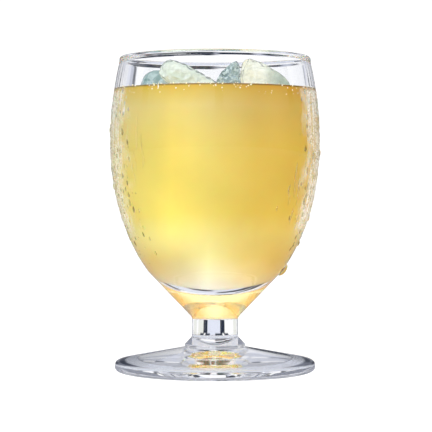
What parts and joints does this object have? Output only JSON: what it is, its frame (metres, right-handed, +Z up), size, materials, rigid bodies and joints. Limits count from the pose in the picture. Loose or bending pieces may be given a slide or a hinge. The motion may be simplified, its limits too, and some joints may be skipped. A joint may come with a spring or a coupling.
{
  "type": "glass of pastis",
  "caption": "Short-stemmed clear bar glass filled with cloudy yellow anise drink, with melting ice standing out of it.",
  "frame": {"origin": "centre of the face that the foot rests on, on the axis of the glass", "axes": "+Z up along the stem, -Y towards the viewer of the picture, +X to the viewer's right"},
  "size_m": [0.07, 0.07, 0.105],
  "materials": {
    "clear_glass": "clear, fire-polished",
    "cloudy_drink": "cloudy liquid",
    "clear_ice": "wet, cloudy in places"
  },
  "bodies": {
    "root": {"glass": "clear_glass", "drink": "cloudy_drink", "ice_left_back": "clear_ice", "ice_left_front": "clear_ice", "ice_middle": "clear_ice", "ice_right": "clear_ice"}
  },
  "joints": []
}
